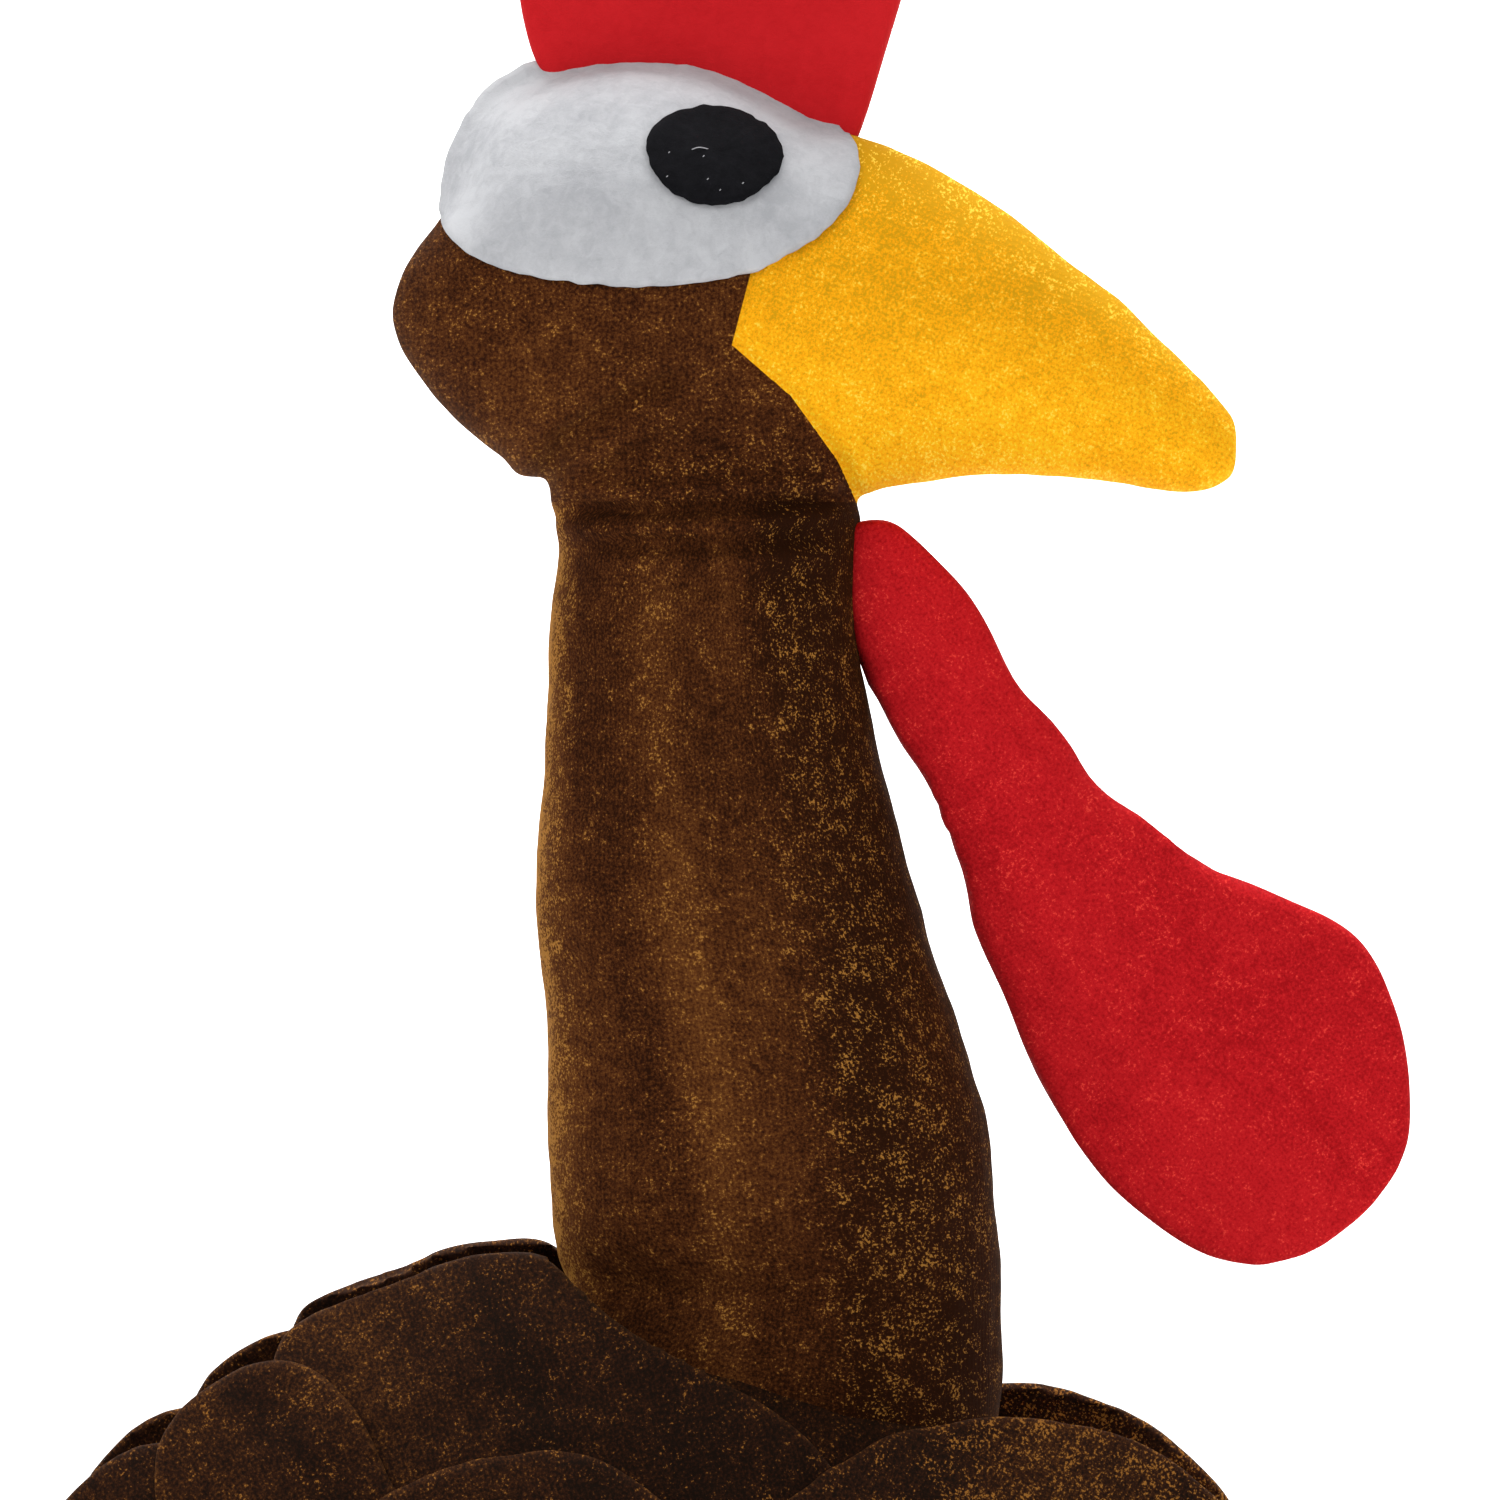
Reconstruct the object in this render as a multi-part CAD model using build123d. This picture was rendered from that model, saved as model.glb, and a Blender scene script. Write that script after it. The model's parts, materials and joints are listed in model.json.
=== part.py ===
"""A soft turkey decoy: a stuffed velour and felt bird that sits on a flat weighted base.

Frame: +X is where the beak points, +Y is the bird's left, +Z is up. The origin is the
mouth of the stake socket, in the middle of the flat base. All sizes are in millimetres.
"""

from math import cos, hypot, pi, radians, sin, tan
import os

from build123d import *

# ---- driving dimensions -------------------------------------------------------------
CLOTH = 2.0          # velour with its backing and the fill pressed into it
FELT = 1.6           # craft felt of the eye patches, pupils and comb
FILL_GAP = 0.3       # between a cover and the filling inside it
RUN_GAP = 0.5        # between two bodies that move past each other
NECK_PLAY = 1.9      # round the foot of the neck, so that its straight part can tip into the body

BODY_CENTRE = (-6, 0, 62)
BODY_RADII = (104, 76, 88)

NECK_PIVOT = Vector(22.8, 0, 132)       # the neck leans about this point, inside the body
HEAD_PIVOT = Vector(11, 0, 279.5)       # the head nods about this one, at the neck's crease
NECK_FRONT_LEAN = 15                    # how far the neck tips towards the beak, in degrees
NECK_DEPTH = 0.92                       # the neck's width in Y over its width in X
NECK_STATIONS = [                       # height, middle in X, half-width in X
    (132.0, 22.8, 36.4), (162.0, 22.8, 36.2), (182.0, 21.0, 35.3), (198.0, 18.3, 33.0),
    (214.5, 14.9, 31.0), (231.0, 13.0, 28.5), (247.5, 11.6, 26.0), (264.0, 11.1, 24.7),
    (279.5, 11.0, 24.8),
]

HEAD_CENTRE = (0, 0, 316)
HEAD_RADII = (40.5, 34, 36)
BEAK_STATIONS = [                       # X, middle height, half-height, half-width
    (12, 314, 32, 29), (34, 311.2, 30.0, 26.5), (52, 309.2, 24.6, 22.5), (68, 304.2, 19.0, 18),
    (82, 297.5, 14.3, 14), (93, 291.6, 9.2, 9.5), (98.4, 289.6, 4.2, 4.5),
]
BEAK_SEAM = [(24, 345), (19.5, 319), (15.2, 305.2), (25.0, 297.0), (35.8, 280.0)]

EYE_PATCH = [
    (-33, 328), (-30.5, 340), (-20.6, 350.2), (-5, 351.6), (10, 350.6), (24, 346.6),
    (33.5, 341.0), (35.8, 333), (31.5, 325.5), (17, 316.6), (0, 314.4), (-21, 317.4),
]
PUPIL_CENTRE, PUPIL_RADII = (12.5, 336.6), (10.9, 8.5)

COMB = [
    (-16.8, 358.6), (-20.0, 372), (-13.0, 385.5), (-3.0, 379.5), (10.0, 394.0), (23.0, 383.0),
    (37.0, 391.0), (45.5, 377.0), (40.0, 359.0), (33.0, 351.6), (17.0, 354.6), (0.0, 357.2),
]
COMB_THICK = 9.0

WATTLE = [
    (43.2, 275.6), (54.0, 265.0), (66, 246), (84, 228.6), (103, 217.5), (120.3, 206.4),
    (126.2, 187), (121.5, 166.5), (103, 155.2), (84, 161.4), (68.5, 179.5), (56.4, 208.5),
    (49.0, 232), (42.6, 250.0),
]
WATTLE_THICK = 12.0

WING_EYE = (5, 20)                      # the point that a wing's feathers fan out from
WING_SHELL_CENTRE = (-8, 147, 62)      # of the right wing's inner surface; mirrored for the left
WING_SHELL_MAJOR, WING_SHELL_MINOR = 130, 98
WING_PANEL_THICK, WING_LAYER = 2.5, 5.0
FEATHER_ROOT = 40                       # distance of a feather's sewn end from WING_EYE
# name: direction in degrees above +X, reach from WING_EYE, half-width, squareness, layer
WING_FEATHERS = {
    "shoulder": (52, 132, 48, 2.1, 2),
    "middle": (122, 138, 18, 2.6, 2),
    "rear": (133, 138, 22, 2.5, 1),
    "lower": (155, 128, 24, 2.4, 2),
    "front_covert": (66, 92, 27, 2.3, 3),
    "top_covert": (108, 111, 36, 2.4, 4),
    "rear_covert": (142, 104, 29, 2.3, 3),
}
UPPER_FEATHER = [                       # a broad one that follows the foot of the neck, layer 1
    (-19, 156.5), (-31, 155), (-47, 149.3), (-58.5, 143.4), (-56, 129), (-42, 104),
    (-14, 80), (14, 76), (32, 96), (36, 116), (25, 131), (6, 142), (-8, 150.5),
]

TAIL_HINGE = Vector(-116, 0, 60)
TAIL_DROOP = 13                         # degrees below the horizontal
TAIL_LAYER, TAIL_HALF = 6.0, 16
TAIL_EYE = 61                           # how far ahead of its hinge the tail fans out from
TAIL_ROOT, TAIL_REACH = 61, 138         # measured from there
TAIL_SPREAD = [0, -14, 14, -26, 26, -36, 36]    # degrees, the uppermost feather first

SOCKET_BORE, SOCKET_WALL, SOCKET_DEPTH = 5.0, 2.5, 75
FLANGE_RADIUS, FLANGE_THICK = 14, 2.0
BASE_HALF = (70.5, 50)                  # half-sizes of the oval base panel
BOARD_THICK = 2.5
BALLAST_HALF, BALLAST_THICK, BALLAST_EYE = (52, 36), 16, 11

FOOT_HINGE = Vector(78, 0, 9)
FOOT_Y, FOOT_SPLAY, FOOT_THICK = 34, 12, 15
FOOT_LIFT = 0.5                         # the sole's height above the ground
WIRE_RADIUS = 1.5
THREAD_RADIUS = 0.25

nodes = {}


# ---- helpers ------------------------------------------------------------------------
def ellipsoid(centre, radii, grow=0.0):
    """A solid ellipsoid, its half-axes made larger by grow."""
    return Pos(*centre) * scale(Sphere(1), by=tuple(r + grow for r in radii))


def slab(points, thickness, middle=0.0):
    """A closed smooth outline in the XZ plane, thickened along Y about Y = middle."""
    edge = Spline(*[(x, middle, z) for x, z in points], periodic=True)
    return extrude(Face(Wire([edge])), amount=thickness / 2, dir=(0, 1, 0), both=True)


def inset(points, amount):
    """The outline's points moved towards its inside, each along its own bisector."""
    moved = []
    count = len(points)
    turn = sum(points[i - 1][0] * points[i][1] - points[i][0] * points[i - 1][1]
               for i in range(count))
    side = 1 if turn > 0 else -1
    for i, (x, z) in enumerate(points):
        ahead, behind = points[(i + 1) % count], points[i - 1]
        dx, dz = ahead[0] - behind[0], ahead[1] - behind[1]
        length = hypot(dx, dz)
        moved.append((x - side * dz / length * amount, z + side * dx / length * amount))
    return moved


def half_space(side):
    """A block that holds everything on one side of the middle plane; side is +1 for the left."""
    return Pos(0, side * 200, 200) * Box(600, 400, 600)


def spheroid(centre, radius, grow=0.0):
    """A ball flattened along Y, which turns in its own shape about a Y axis."""
    return ellipsoid(tuple(centre), (radius, radius * NECK_DEPTH, radius), grow)


def split_cover(name, cover):
    """Stores a cover's two halves, which are joined along the middle seam."""
    nodes[name + "_left"] = cover & half_space(1)
    nodes[name + "_right"] = cover & half_space(-1)


def feather_side(reach, half_width, squareness, root, steps=7):
    """The right half of a feather's outline as (along, across): a taper and a rounded tip."""
    widest = reach - half_width * 1.15
    side = [(root, half_width * 0.42), ((root + widest) / 2, half_width * 0.8)]
    for i in range(steps):
        t = i / (steps - 1)
        angle = t * pi / 2
        along = widest + (reach - widest) * abs(sin(angle)) ** (2 / squareness)
        side.append((along, half_width * abs(cos(angle)) ** (2 / squareness)))
    return side


def feather_points(direction, reach, half_width, squareness, root):
    """A closed feather outline in a plane, pointing at direction degrees from its first axis."""
    side = feather_side(reach, half_width, squareness, root)
    loop = side + [(along, -across) for along, across in reversed(side[:-1])]
    c, s = cos(radians(direction)), sin(radians(direction))
    return [(along * c - across * s, along * s + across * c) for along, across in loop]


# ---- neck ---------------------------------------------------------------------------
def neck_tube(grow):
    """The neck's solid, with a turning ball at each end."""
    rings = [Pos(x, 0, z) * Ellipse(half + grow, half * NECK_DEPTH + grow)
             for z, x, half in NECK_STATIONS]
    foot_radius, top_radius = NECK_STATIONS[0][2], NECK_STATIONS[-1][2]
    return (loft(rings) + spheroid(NECK_PIVOT, foot_radius, grow)
            + spheroid(HEAD_PIVOT, top_radius, grow))


def neck_recess():
    """The room in the body for the neck's ball, flared so that the neck can lean."""
    foot_radius = NECK_STATIONS[0][2] + NECK_PLAY
    height = 60
    flare = height * tan(radians(NECK_FRONT_LEAN + 1))
    flared = loft([
        Pos(*NECK_PIVOT) * Ellipse(foot_radius, foot_radius * NECK_DEPTH),
        Pos(NECK_PIVOT.X, 0, NECK_PIVOT.Z + height)
        * Ellipse(foot_radius + flare, foot_radius * NECK_DEPTH + 3),
    ])
    return spheroid(NECK_PIVOT, NECK_STATIONS[0][2], NECK_PLAY) + flared


def make_neck():
    outer, inner = neck_tube(0), neck_tube(-CLOTH)
    split_cover("neck_cover", outer - inner)
    bottom, top = NECK_PIVOT.Z - 24, HEAD_PIVOT.Z + 10
    route = Spline((NECK_PIVOT.X, 0, bottom), (NECK_PIVOT.X - 1, 0, 165), (15, 0, 215),
                   (HEAD_PIVOT.X, 0, top))
    wire = sweep(Plane(origin=route @ 0, z_dir=route % 0) * Circle(WIRE_RADIUS), path=route)
    nodes["neck_wire"] = wire
    channel = sweep(Plane(origin=route @ 0, z_dir=route % 0) * Circle(WIRE_RADIUS + FILL_GAP),
                    path=route)
    nodes["neck_stuffing"] = neck_tube(-CLOTH - FILL_GAP) - channel


# ---- body, base and ballast -------------------------------------------------------------
def body_solid(grow):
    """The body, flat below."""
    whole = ellipsoid(BODY_CENTRE, BODY_RADII, grow)
    return whole & (Pos(0, 0, 200) * Box(600, 600, 400))


def make_body():
    recess = neck_recess()
    panel = Ellipse(*BASE_HALF)
    cover = body_solid(0) - ellipsoid(BODY_CENTRE, BODY_RADII, -CLOTH) - recess
    cover -= Pos(BODY_CENTRE[0], 0, 0) * extrude(panel, CLOTH)
    split_cover("body_cover", cover)

    flange_hole = extrude(Circle(FLANGE_RADIUS), FLANGE_THICK)
    nodes["base_panel"] = Pos(BODY_CENTRE[0], 0, 0) * extrude(panel, CLOTH) - flange_hole
    tube_hole = extrude(Circle(SOCKET_BORE + SOCKET_WALL), 200)
    board = Ellipse(BASE_HALF[0] - 1.5, BASE_HALF[1] - 1.5)
    nodes["base_board"] = (Pos(BODY_CENTRE[0], 0, CLOTH) * extrude(board, BOARD_THICK)
                           - tube_hole)

    tube_top = SOCKET_DEPTH + SOCKET_WALL
    socket = extrude(Circle(FLANGE_RADIUS), FLANGE_THICK)
    socket += extrude(Circle(SOCKET_BORE + SOCKET_WALL), tube_top)
    nodes["stake_socket"] = socket - extrude(Circle(SOCKET_BORE), SOCKET_DEPTH)

    floor = CLOTH + BOARD_THICK
    bag = Pos(BODY_CENTRE[0], 0, floor) * extrude(Ellipse(*BALLAST_HALF), BALLAST_THICK)
    bag = fillet(bag.edges().group_by(Axis.Z)[-1], 6)
    ring = extrude(Circle(BALLAST_EYE), 100)
    nodes["ballast_bag"] = bag - ring

    fill = ellipsoid(BODY_CENTRE, BODY_RADII, -CLOTH - FILL_GAP)
    fill &= Pos(0, 0, 200 + floor + FILL_GAP) * Box(600, 600, 400)
    pocket = Pos(BODY_CENTRE[0], 0, 0) * extrude(
        Ellipse(BALLAST_HALF[0] + 1, BALLAST_HALF[1] + 1), floor + BALLAST_THICK + 1)
    tube_room = extrude(Circle(SOCKET_BORE + SOCKET_WALL + FILL_GAP), tube_top + FILL_GAP)
    nodes["body_stuffing"] = fill - recess - pocket - tube_room


# ---- head, beak and eyes ------------------------------------------------------------------
def head_solid(grow):
    """Head and beak in one, with the room for the neck's upper ball taken out."""
    rings = [Plane(origin=(x, 0, z), x_dir=(0, 1, 0), z_dir=(1, 0, 0))
             * Ellipse(half_width + grow, half_height + grow)
             for x, z, half_height, half_width in BEAK_STATIONS[:-1]]
    x, z, half_height, half_width = BEAK_STATIONS[-1]
    rings.append(Plane(origin=(x + grow, 0, z), x_dir=(0, 1, 0), z_dir=(1, 0, 0))
                 * Ellipse(half_width + grow, half_height + grow))
    return ellipsoid(HEAD_CENTRE, HEAD_RADII, grow) + loft(rings)


def neck_room(grow):
    """What the head leaves free for the neck as it nods."""
    top_radius = NECK_STATIONS[-1][2]
    room = spheroid(HEAD_PIVOT, top_radius, RUN_GAP + grow)
    throat = loft([
        Pos(*HEAD_PIVOT) * Ellipse(top_radius + RUN_GAP + grow,
                                   top_radius * NECK_DEPTH + RUN_GAP + grow),
        Pos(HEAD_PIVOT.X, 0, HEAD_PIVOT.Z - 30) * Ellipse(top_radius + 14,
                                                          top_radius * NECK_DEPTH + 6),
    ])
    return room + throat


def beak_side():
    """Everything in front of the seam between head and beak."""
    points = [(x, 0, z) for x, z in BEAK_SEAM]
    corners = points + [(36, 0, 240), (150, 0, 240), (150, 0, 380), (26, 0, 380)]
    face = Face(Wire.make_polygon([Vector(*p) for p in corners], close=True))
    return extrude(face, amount=80, dir=(0, 1, 0), both=True)


def eye_shell(inside, outside):
    """Between two skins round the head, the outer one a felt's thickness further out."""
    return head_solid(outside) - head_solid(inside)


def make_head():
    room, beak = neck_room(0), beak_side()
    outer, inner = head_solid(0), head_solid(-CLOTH)
    cover = outer - inner - room
    split_cover("head_cover", cover - beak)
    split_cover("beak_cover", cover & beak)
    nodes["head_stuffing"] = head_solid(-CLOTH - FILL_GAP) - neck_room(CLOTH)

    patch_band = eye_shell(0, FELT)
    pupil_band = eye_shell(FELT, 2 * FELT)
    ellipse = [(PUPIL_CENTRE[0] + PUPIL_RADII[0] * cos(radians(a)),
                PUPIL_CENTRE[1] + PUPIL_RADII[1] * sin(radians(a))) for a in range(0, 360, 45)]
    patch, pupil = slab(EYE_PATCH, 120), slab(ellipse, 120)
    stitches = []
    for side, name in ((1, "left"), (-1, "right")):
        beyond = Pos(0, side * (200 + 5), 200) * Box(600, 400, 600)
        nodes["eye_patch_" + name] = patch_band & patch & beyond
        nodes["pupil_" + name] = pupil_band & pupil & beyond
        surface = nodes["pupil_" + name].bounding_box()
        y = surface.max.Y if side > 0 else surface.min.Y
        for dx, dz in ((-3.5, 0.5), (-1.8, -3.2)):
            at = (PUPIL_CENTRE[0] + dx, y + side * 0.35, PUPIL_CENTRE[1] + dz)
            stitches.append(Pos(*at) * Rot(0, 90, 0) * Cylinder(THREAD_RADIUS, 3.0))
    nodes["pupil_stitches"] = Compound(children=stitches)


# ---- comb and wattle ----------------------------------------------------------------------
def make_padded_pair(name, outline, thickness, wall):
    """Two cloth halves that meet at the edge, with a pad of filling between them."""
    outer = slab(outline, thickness)
    inner = slab(inset(outline, wall), thickness - 2 * wall)
    split_cover(name + "_cover", outer - inner)
    fill = slab(inset(outline, wall + 3 * FILL_GAP), thickness - 2 * wall - 2 * FILL_GAP)
    nodes[name + "_stuffing"] = fill


# ---- wings ----------------------------------------------------------------------------------
def wing_band(inner, outer):
    """The right wing's curved layer between two depths."""
    return (Torus(WING_SHELL_MAJOR, WING_SHELL_MINOR + outer)
            - Torus(WING_SHELL_MAJOR, WING_SHELL_MINOR + inner))


def layer_depths(layer):
    """Inner and outer depth of a feather layer; layer 0 is the panel behind the feathers."""
    if layer == 0:
        return 0, WING_PANEL_THICK
    start = WING_PANEL_THICK + (layer - 1) * WING_LAYER
    return start, start + WING_LAYER


def wing_cut(band, points):
    """The part of a layer inside a side-view outline, in its place on the right wing."""
    shift_x, shift_y, shift_z = WING_SHELL_CENTRE
    placed = [(x - shift_x, z - shift_z) for x, z in points]
    outer_wall = slab(placed, WING_SHELL_MINOR * 2, -WING_SHELL_MAJOR - WING_SHELL_MINOR * 0.8)
    return Pos(shift_x, shift_y, shift_z) * (band & outer_wall)


def make_wings():
    bands = {layer: wing_band(*layer_depths(layer)) for layer in range(5)}
    panel_outline = []
    for direction, reach in ((40, 62), (62, 112), (84, 100), (107, 122), (123.5, 124),
                             (139.5, 124), (157, 112), (175, 70), (215, 20), (300, 14)):
        c, s = cos(radians(direction)), sin(radians(direction))
        panel_outline.append((WING_EYE[0] + reach * c, WING_EYE[1] + reach * s))
    right = {"panel": wing_cut(bands[0], panel_outline),
             "upper_feather": wing_cut(bands[1], UPPER_FEATHER)}
    for name, (direction, reach, half_width, squareness, layer) in WING_FEATHERS.items():
        points = feather_points(direction, reach, half_width, squareness, FEATHER_ROOT)
        placed = [(WING_EYE[0] + x, WING_EYE[1] + z) for x, z in points]
        kind = name if "covert" in name else name + "_feather"
        right[kind] = wing_cut(bands[layer], placed)
    for name, shape in right.items():
        nodes["right_wing_" + name] = shape
        nodes["left_wing_" + name] = mirror(shape, about=Plane.XZ)


# ---- tail -----------------------------------------------------------------------------------
def make_tail():
    for number, spread in enumerate(TAIL_SPREAD):
        level = (number + 1) // 2
        reach = TAIL_REACH - 3 * level
        points = feather_points(180 + spread, reach, TAIL_HALF, 2.4, TAIL_ROOT)
        edge = Spline(*[(x, y, 0) for x, y in points], periodic=True)
        pad = extrude(Face(Wire([edge])), amount=-(TAIL_LAYER - FILL_GAP))
        pad = Pos(0, 0, -level * TAIL_LAYER) * pad
        pad = Pos(*TAIL_HINGE) * Rot(0, -TAIL_DROOP, 0) * Pos(TAIL_EYE, 0, 0) * pad
        nodes[f"tail_feather_{number + 1}"] = pad


# ---- feet -----------------------------------------------------------------------------------
def make_feet():
    toe_reach, heel = 52, 2
    outline = [
        (heel, -9), (20, -13), (44, -24), (51, -17), (36, -8), (toe_reach + 4, -6),
        (toe_reach + 4, 6), (36, 8), (51, 17), (44, 24), (20, 13), (heel, 9),
    ]
    for side, name in ((1, "left"), (-1, "right")):
        place = (Pos(FOOT_HINGE.X, side * FOOT_Y, FOOT_LIFT)
                 * Rot(0, 0, side * FOOT_SPLAY))
        edge = Spline(*[(x, y, 0) for x, y in outline], periodic=True)
        whole = extrude(Face(Wire([edge])), amount=FOOT_THICK)
        inner_points = inset(outline, CLOTH)
        inner_edge = Spline(*[(x, y, CLOTH) for x, y in inner_points], periodic=True)
        inner = extrude(Face(Wire([inner_edge])), amount=FOOT_THICK - 2 * CLOTH)
        top = Pos(0, 0, FOOT_THICK / 2 + 50) * Box(200, 200, 100)
        shell = whole - inner
        nodes[f"{name}_foot_top"] = place * (shell & top)
        nodes[f"{name}_foot_sole"] = place * (shell - top)
        small_edge = Spline(*[(x, y, CLOTH + FILL_GAP) for x, y in
                              inset(outline, CLOTH + FILL_GAP)], periodic=True)
        fill = extrude(Face(Wire([small_edge])), amount=FOOT_THICK - 2 * CLOTH - 2 * FILL_GAP)
        nodes[f"{name}_foot_stuffing"] = place * fill


make_body()
make_neck()
make_head()
make_padded_pair("comb", COMB, COMB_THICK, FELT)
make_padded_pair("wattle", WATTLE, WATTLE_THICK, CLOTH)
make_wings()
make_tail()
make_feet()

os.makedirs("parts", exist_ok=True)
for node, shape in nodes.items():
    export_step(shape, f"parts/{node}.step")
print(len(nodes), "nodes written")
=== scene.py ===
"""The looks of the soft turkey decoy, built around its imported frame. Everything is in metres."""

import json
from math import cos, pi, radians, sin

import bmesh
import bpy
import numpy as np
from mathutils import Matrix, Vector, noise
from mathutils.bvhtree import BVHTree


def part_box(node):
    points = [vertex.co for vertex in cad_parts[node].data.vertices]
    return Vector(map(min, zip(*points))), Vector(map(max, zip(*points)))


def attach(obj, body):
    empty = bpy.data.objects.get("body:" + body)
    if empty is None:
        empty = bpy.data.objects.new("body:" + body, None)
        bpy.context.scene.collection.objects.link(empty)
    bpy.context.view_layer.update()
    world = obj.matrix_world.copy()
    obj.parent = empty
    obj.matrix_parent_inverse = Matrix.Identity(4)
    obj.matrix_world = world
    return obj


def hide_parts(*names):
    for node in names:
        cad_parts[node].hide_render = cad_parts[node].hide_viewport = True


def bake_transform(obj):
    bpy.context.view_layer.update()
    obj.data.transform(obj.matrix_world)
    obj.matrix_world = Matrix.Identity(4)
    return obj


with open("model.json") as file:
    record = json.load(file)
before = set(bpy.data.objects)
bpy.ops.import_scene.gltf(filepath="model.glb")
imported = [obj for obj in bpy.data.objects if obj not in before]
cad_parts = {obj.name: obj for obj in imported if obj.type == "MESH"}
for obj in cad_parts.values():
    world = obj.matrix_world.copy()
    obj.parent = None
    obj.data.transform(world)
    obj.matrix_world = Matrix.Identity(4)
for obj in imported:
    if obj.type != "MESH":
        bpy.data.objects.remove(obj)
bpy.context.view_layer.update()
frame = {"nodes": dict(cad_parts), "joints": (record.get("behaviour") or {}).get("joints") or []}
NODES = frame["nodes"]
JOINTS = {joint["name"]: joint for joint in frame["joints"]}
MM = 0.001

FELT = 1.6 * MM
WALE = 1.0 * MM                     # distance between the velour's fine ribs
VOXEL = 1.6 * MM                    # size of the cells that the stuffed shapes are rebuilt from
SIDES = (("left", 1), ("right", -1))


# ---- mesh helpers -------------------------------------------------------------------
def points(obj):
    """The object's vertices as an array."""
    co = np.empty(len(obj.data.vertices) * 3)
    obj.data.vertices.foreach_get("co", co)
    return co.reshape(-1, 3)


def set_points(obj, co):
    obj.data.vertices.foreach_set("co", np.asarray(co, np.float32).ravel())
    obj.data.update()


def normals(obj):
    out = np.empty(len(obj.data.vertices) * 3)
    obj.data.vertex_normals.foreach_get("vector", out)
    return out.reshape(-1, 3)


def add_object(name, mesh):
    obj = bpy.data.objects.new(name, mesh)
    bpy.context.scene.collection.objects.link(obj)
    return obj


def from_lists(name, vertices, faces):
    mesh = bpy.data.meshes.new(name)
    mesh.from_pydata([tuple(v) for v in vertices], [], faces)
    mesh.update()
    return add_object(name, mesh)


def finish_mesh(obj):
    """Puts the result of the object's modifiers into its own mesh, with smooth shading."""
    graph = bpy.context.evaluated_depsgraph_get()
    mesh = bpy.data.meshes.new_from_object(obj.evaluated_get(graph))
    obj.modifiers.clear()
    old, obj.data = obj.data, mesh
    bpy.data.meshes.remove(old)
    mesh.shade_smooth()
    return obj


def copy_nodes(name, *parts):
    """One new object with the surfaces of several CAD nodes."""
    cells = bmesh.new()
    for part in parts:
        cells.from_mesh(NODES[part].data)
    bmesh.ops.remove_doubles(cells, verts=cells.verts, dist=1e-6)
    mesh = bpy.data.meshes.new(name)
    cells.to_mesh(mesh)
    cells.free()
    mesh.materials.clear()
    return add_object(name, mesh)


def remesh(obj, voxel=VOXEL):
    """Rebuilds the object as one even closed skin."""
    rebuild = obj.modifiers.new("rebuild", "REMESH")
    rebuild.mode = "VOXEL"
    rebuild.voxel_size = voxel
    return finish_mesh(obj)


def relax(obj, steps, factor=0.5):
    smooth = obj.modifiers.new("relax", "SMOOTH")
    smooth.factor = factor
    smooth.iterations = steps
    return finish_mesh(obj)


def subdivide(obj, levels=1):
    finer = obj.modifiers.new("finer", "SUBSURF")
    finer.levels = finer.render_levels = levels
    return finish_mesh(obj)


def stuffed(name, *parts, voxel=VOXEL, relaxing=5):
    """A rounded skin over CAD nodes, ready for its padding; it stands for those nodes."""
    obj = relax(remesh(copy_nodes(name, *parts), voxel), relaxing)
    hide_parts(*parts)
    return obj


def puff(pads, frames=20):
    """Cloth simulation of all the pads at once. A pad is (object, pressure, cap on its moves)."""
    starts = [points(obj) for obj, _, _ in pads]
    for obj, pressure, _ in pads:
        cloth = obj.modifiers.new("cloth", "CLOTH")
        cloth.settings.use_pressure = True
        cloth.settings.uniform_pressure_force = pressure
        cloth.settings.effector_weights.gravity = 0
        cloth.settings.quality = 5
        cloth.collision_settings.use_collision = False
        cloth.point_cache.frame_start = 1
        cloth.point_cache.frame_end = frames
    for number in range(1, frames + 1):
        bpy.context.scene.frame_set(number)
    for (obj, _, cap), start in zip(pads, starts):
        finish_mesh(obj)
        move = points(obj) - start
        length = np.linalg.norm(move, axis=1, keepdims=True)
        set_points(obj, start + move * np.minimum(1, cap / np.maximum(length, 1e-9)))
    bpy.context.scene.frame_set(1)


def roughen(obj, size, height, seed=0):
    """Moves the skin in and out by soft noise of that size and height."""
    co = points(obj)
    shift = Vector((seed * 7.3, seed * 3.1, seed * 5.7))
    amount = np.array([noise.noise(Vector(p) / size + shift) for p in co])
    set_points(obj, co + normals(obj) * (amount * height)[:, None])


def push(obj, *moves):
    """Shifts the outline in the side view. A move is x, z, reach, shift in x, shift in z, in mm."""
    co = points(obj)
    for x, z, reach, dx, dz in moves:
        gap = np.hypot(co[:, 0] - x * MM, co[:, 2] - z * MM) / (reach * MM)
        weight = np.exp(-gap ** 2)
        co[:, 0] += weight * dx * MM
        co[:, 2] += weight * dz * MM
    set_points(obj, co)


def from_path(co, path):
    """How far each point is from a line in the side view, and its share of the way along."""
    flat = co[:, [0, 2]]
    best = np.full(len(co), 1e9)
    along = np.zeros(len(co))
    for i in range(len(path) - 1):
        start, end = np.array(path[i]), np.array(path[i + 1])
        run = end - start
        t = np.clip(((flat - start) @ run) / (run @ run), 0, 1)
        gap = np.linalg.norm(flat - start - t[:, None] * run, axis=1)
        nearer = gap < best
        best[nearer] = gap[nearer]
        along[nearer] = (i + t[nearer]) / (len(path) - 1)
    return best, along


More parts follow.
